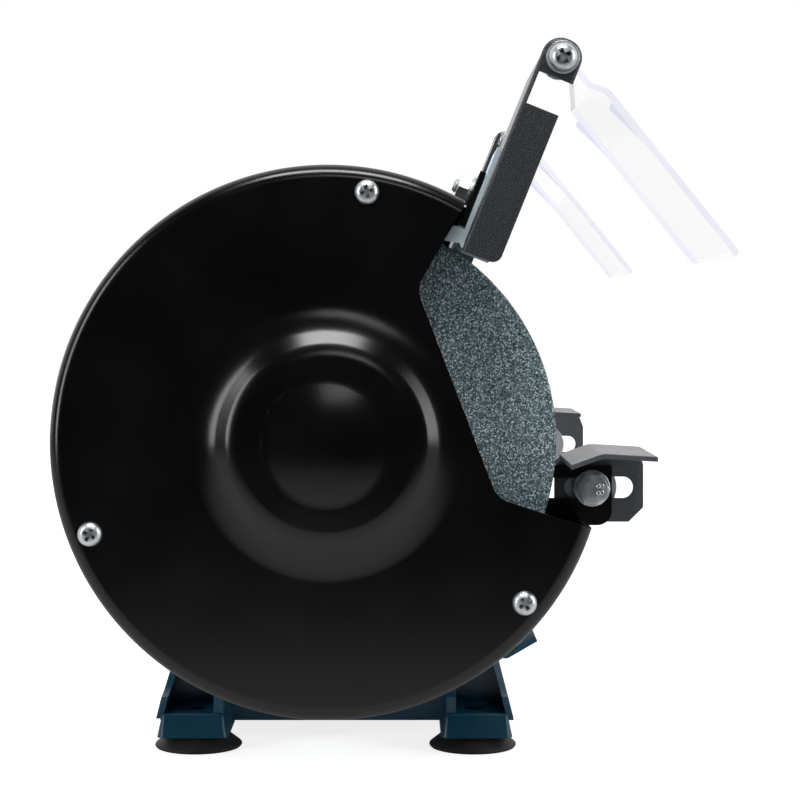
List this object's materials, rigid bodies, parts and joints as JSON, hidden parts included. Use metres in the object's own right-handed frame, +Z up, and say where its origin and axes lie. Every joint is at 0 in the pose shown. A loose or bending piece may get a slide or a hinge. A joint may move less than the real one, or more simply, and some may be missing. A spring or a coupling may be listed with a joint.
{
  "type": "bench grinder",
  "caption": "Double-ended bench grinder with guarded abrasive wheels, eye shields, spark arresters, tool rests, motor, switch and a footed base.",
  "frame": {"origin": "centre of the four bench-bolt holes, on the bench surface under the rubber feet", "axes": "+X along the shaft to the operator's right, -Y towards the operator, +Z up"},
  "size_m": [0.37, 0.2183, 0.2455],
  "materials": {
    "black_cover": "satin black paint",
    "bracket_black": "fine textured black paint",
    "base_paint": "dark blue-green paint on cast metal",
    "zinc": "zinc plated sheet",
    "fastener": "zinc plated fasteners",
    "steel": "turned steel",
    "lamination": "stacked electrical sheet",
    "copper": "enamelled copper wire",
    "abrasive": "grey vitrified abrasive grain",
    "paper": "blotter paper",
    "clear": "clear plastic sheet",
    "rubber": "black rubber",
    "black_plastic": "black moulded plastic",
    "red_plastic": "red moulded plastic",
    "pale_plastic": "off-white moulded plastic"
  },
  "bodies": {
    "frame": {"base_casting": "base_paint", "base_plate": "zinc", "base_plate_screws": "fastener", "rubber_feet": "rubber", "motor_shell": "base_paint", "stator_core": "lamination", "stator_windings": "copper", "left_end_bell": "base_paint", "right_end_bell": "base_paint", "tie_bolts": "fastener", "tie_nuts": "fastener", "bearing_outer_rings": "steel", "preload_washers": "steel", "left_guard": "black_cover", "right_guard": "black_cover", "guard_screws": "fastener", "left_cover": "black_cover", "right_cover": "black_cover", "cover_posts": "steel", "cover_screws": "fastener", "clamp_bolts": "fastener", "clamp_nuts": "fastener", "switch_frame": "black_plastic", "switch_body": "black_plastic", "front_lip": "base_paint", "front_lip_screws": "fastener", "cord_gland": "black_plastic", "capacitor": "pale_plastic", "terminal_block": "pale_plastic"},
    "rotor": {"rotor_shaft": "steel", "rotor_core": "lamination", "bearing_inner_rings": "steel", "bearing_balls": "steel", "left_wheel": "abrasive", "right_wheel": "abrasive", "wheel_blotters": "paper", "left_inner_flange": "steel", "right_inner_flange": "steel", "left_outer_flange": "steel", "right_outer_flange": "steel", "left_wheel_nut": "fastener", "right_wheel_nut": "fastener"},
    "left_bracket": {"left_shield_bracket": "bracket_black", "left_spark_arrester": "zinc", "left_pivot_screw": "fastener"},
    "left_shield": {"left_eye_shield": "clear"},
    "left_rest_clamp": {"left_rest_bolt": "fastener", "left_rest_washers": "fastener", "left_rest_nut": "fastener"},
    "left_rest": {"left_tool_rest": "bracket_black"},
    "right_bracket": {"right_shield_bracket": "bracket_black", "right_spark_arrester": "zinc", "right_pivot_screw": "fastener"},
    "right_shield": {"right_eye_shield": "clear"},
    "right_rest_clamp": {"right_rest_bolt": "fastener", "right_rest_washers": "fastener", "right_rest_nut": "fastener"},
    "right_rest": {"right_tool_rest": "bracket_black"},
    "switch": {"switch_rocker": "red_plastic"}
  },
  "joints": [
    {"name": "rotor_spin", "type": "hinge", "parent": "frame", "child": "rotor", "pos_m": [0, 0, 0.116], "axis": [1, 0, 0], "continuous": true},
    {"name": "left_bracket_slide", "type": "slide", "parent": "frame", "child": "left_bracket", "axis": [0, -0.3746, 0.9272], "range_m": [0, 0.005]},
    {"name": "left_shield_tilt", "type": "hinge", "parent": "left_bracket", "child": "left_shield", "pos_m": [-0.158, -0.07514, 0.23905], "axis": [1, 0, 0], "range_deg": [-75, 30]},
    {"name": "left_rest_tilt", "type": "hinge", "parent": "frame", "child": "left_rest_clamp", "pos_m": [-0.113, -0.0891, 0.0981], "axis": [1, 0, 0], "range_deg": [-6, 10]},
    {"name": "left_rest_slide", "type": "slide", "parent": "left_rest_clamp", "child": "left_rest", "axis": [0, -1, 0], "range_m": [-0.0016, 0.0055]},
    {"name": "right_bracket_slide", "type": "slide", "parent": "frame", "child": "right_bracket", "axis": [0, -0.3746, 0.9272], "range_m": [0, 0.005]},
    {"name": "right_shield_tilt", "type": "hinge", "parent": "right_bracket", "child": "right_shield", "pos_m": [0.158, -0.07514, 0.23905], "axis": [1, 0, 0], "range_deg": [-75, 30]},
    {"name": "right_rest_tilt", "type": "hinge", "parent": "frame", "child": "right_rest_clamp", "pos_m": [0.113, -0.0891, 0.0981], "axis": [1, 0, 0], "range_deg": [-6, 10]},
    {"name": "right_rest_slide", "type": "slide", "parent": "right_rest_clamp", "child": "right_rest", "axis": [0, -1, 0], "range_m": [-0.0016, 0.0055]},
    {"name": "switch_rock", "type": "hinge", "parent": "frame", "child": "switch", "pos_m": [0, -0.05701, 0.04786], "axis": [1, 0, 0], "range_deg": [0, 12]}
  ]
}
